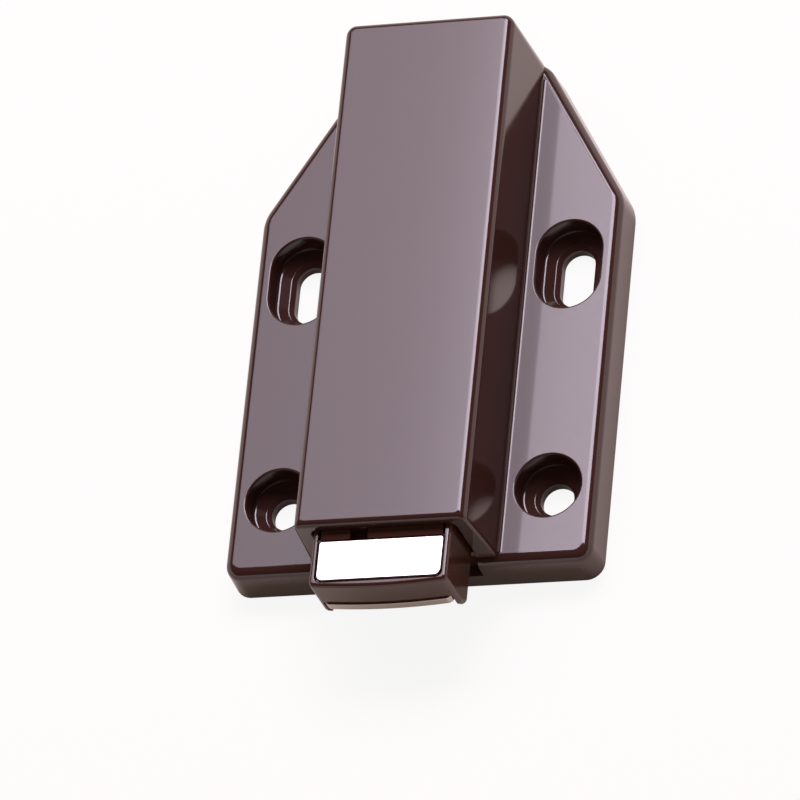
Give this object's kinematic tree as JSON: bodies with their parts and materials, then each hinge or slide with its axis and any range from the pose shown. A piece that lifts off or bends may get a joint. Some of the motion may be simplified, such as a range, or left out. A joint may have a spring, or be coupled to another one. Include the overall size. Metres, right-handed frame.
{
  "type": "press release cabinet latch",
  "caption": "Surface-mounted press release latch: a flanged moulded housing with a sprung magnetic plunger that latches when pushed in and comes out when pushed again.",
  "frame": {"origin": "midway between the two front screw holes, on the mounting face", "axes": "+Z away from the mounting face, -Y the way the plunger stands out, +X across the flange"},
  "size_m": [0.05, 0.0823, 0.0174],
  "materials": {
    "brown_plastic": "polished moulding, dark brown",
    "brown_plastic_matt": "plain moulding, dark brown",
    "plunger_plastic": "glossy moulding, dark brown",
    "nickel_steel": "nickel plated, bright",
    "plain_steel": "punched edge",
    "ferrite": "sintered, dark grey",
    "spring_steel": "drawn",
    "zinc_steel": "zinc plated"
  },
  "bodies": {
    "housing": {"housing": "brown_plastic", "base_cover": "brown_plastic_matt", "cover_screw_left": "zinc_steel", "cover_screw_right": "zinc_steel", "leaf_spring": "spring_steel", "main_spring": "spring_steel"},
    "plunger": {"plunger": "plunger_plastic", "upper_pole_plate": "nickel_steel", "magnet": "ferrite", "lower_pole_plate": "plain_steel"},
    "hook": {"hook_wire": "spring_steel"}
  },
  "joints": [
    {"name": "plunger_slide", "type": "slide", "parent": "housing", "child": "plunger", "axis": [0, 1, 0], "range_m": [0, 0.006], "stiffness_N_per_m": 600, "springref_m": -0.012, "deforming": ["main_spring"]},
    {"name": "hook_swing", "type": "hinge", "parent": "housing", "child": "hook", "pos_m": [0, 0.045, 0.0031], "axis": [0, 0, 1], "range_deg": [0, 8.5]}
  ],
  "couplings": [
    {"joint": "hook_swing", "follows": "plunger_slide", "rad_per_m": 24.33}
  ]
}
